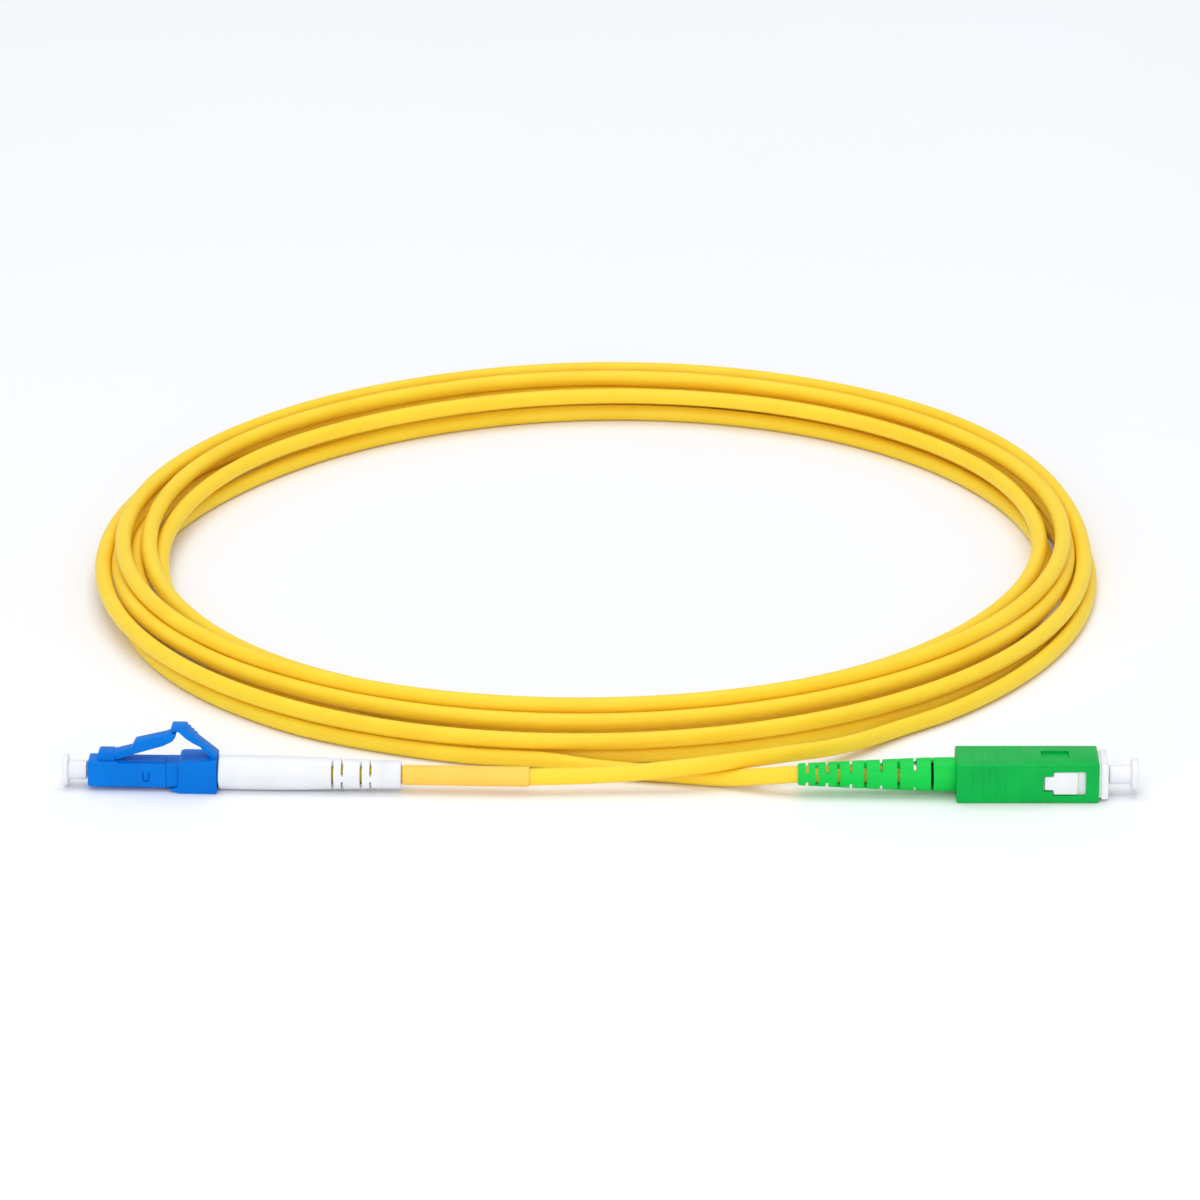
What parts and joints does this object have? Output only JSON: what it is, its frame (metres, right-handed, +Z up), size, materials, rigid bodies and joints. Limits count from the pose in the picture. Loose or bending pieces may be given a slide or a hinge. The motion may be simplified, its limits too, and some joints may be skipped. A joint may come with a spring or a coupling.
{
  "type": "fiber optic patch cord",
  "caption": "Coiled yellow single-fibre patch cord with a small latched plug at one end and a square push-pull angled plug at the other, both capped.",
  "frame": {"origin": "on the ground, midway between the tips of the two dust caps and between the plugs' sides", "axes": "+X from the LC plug's tip to the SC plug's tip, +Y from the plugs towards the coil, +Z up"},
  "size_m": [0.192, 0.211, 0.0119],
  "materials": {
    "yellow_jacket": "satin PVC",
    "yellow_sleeve": "smooth",
    "blue_plastic": "moulded, satin gloss",
    "green_plastic": "moulded, satin gloss",
    "green_boot": "soft satin",
    "white_boot": "soft satin",
    "white_plastic": "moulded",
    "cap_plastic": "milky translucent",
    "ceramic": "polished zirconia",
    "nickel": "nickel plated brass",
    "spring_steel": "bright wire",
    "buffer": "smooth"
  },
  "bodies": {
    "root": {"lc_housing": "blue_plastic", "lc_rear_body": "blue_plastic", "lc_trigger_clip": "blue_plastic", "lc_crimp_sleeve": "nickel", "lc_boot": "white_boot", "lc_jacket_sleeve": "yellow_sleeve", "lc_spring": "spring_steel", "sc_plug_frame": "white_plastic", "sc_stop_ring": "white_plastic", "sc_crimp_sleeve": "nickel", "sc_boot": "green_boot", "sc_spring": "spring_steel", "cable_coil": "yellow_jacket", "cable_tail_lc": "yellow_jacket", "cable_tail_sc": "yellow_jacket"},
    "lc_latch_arm": {"lc_latch": "blue_plastic"},
    "lc_trigger_arm": {"lc_trigger": "blue_plastic"},
    "lc_ferrule_group": {"lc_ferrule": "ceramic", "lc_ferrule_flange": "nickel", "lc_buffer": "buffer"},
    "lc_cap": {"lc_dust_cap": "cap_plastic"},
    "sc_grip_shell": {"sc_grip": "green_plastic"},
    "sc_ferrule_group": {"sc_ferrule": "ceramic", "sc_ferrule_flange": "nickel", "sc_buffer": "buffer"},
    "sc_cap": {"sc_dust_cap": "cap_plastic"}
  },
  "joints": [
    {"name": "lc_trigger_press", "type": "hinge", "parent": "root", "child": "lc_trigger_arm", "pos_m": [-0.06784, 0.00163, 0.0063], "axis": [-0.0427, -0.9991, 0], "range_deg": [0, 12], "stiffness_Nm_per_rad": 0.002},
    {"name": "lc_latch_flex", "type": "hinge", "parent": "root", "child": "lc_latch_arm", "pos_m": [-0.08483, 0.00236, 0.006], "axis": [0.0427, 0.9991, 0], "range_deg": [0, 9], "stiffness_Nm_per_rad": 0.002},
    {"name": "lc_ferrule_float", "type": "slide", "parent": "root", "child": "lc_ferrule_group", "axis": [0.9991, -0.0427, 0], "range_m": [0, 0.001], "stiffness_N_per_m": 150, "springref_m": -0.002, "deforming": ["lc_spring"]},
    {"name": "lc_cap_pull", "type": "slide", "parent": "root", "child": "lc_cap", "axis": [-0.9991, 0.0427, 0], "range_m": [0, 0.012]},
    {"name": "sc_grip_slide", "type": "slide", "parent": "root", "child": "sc_grip_shell", "axis": [-1, 0, 0], "range_m": [0, 0.0013]},
    {"name": "sc_ferrule_float", "type": "slide", "parent": "root", "child": "sc_ferrule_group", "axis": [-1, 0, 0], "range_m": [0, 0.0015], "stiffness_N_per_m": 150, "springref_m": -0.002, "deforming": ["sc_spring"]},
    {"name": "sc_cap_pull", "type": "slide", "parent": "root", "child": "sc_cap", "axis": [1, 0, 0], "range_m": [0, 0.012]}
  ],
  "couplings": [
    {"joint": "lc_latch_flex", "follows": "lc_trigger_press", "ratio": 0.75}
  ]
}
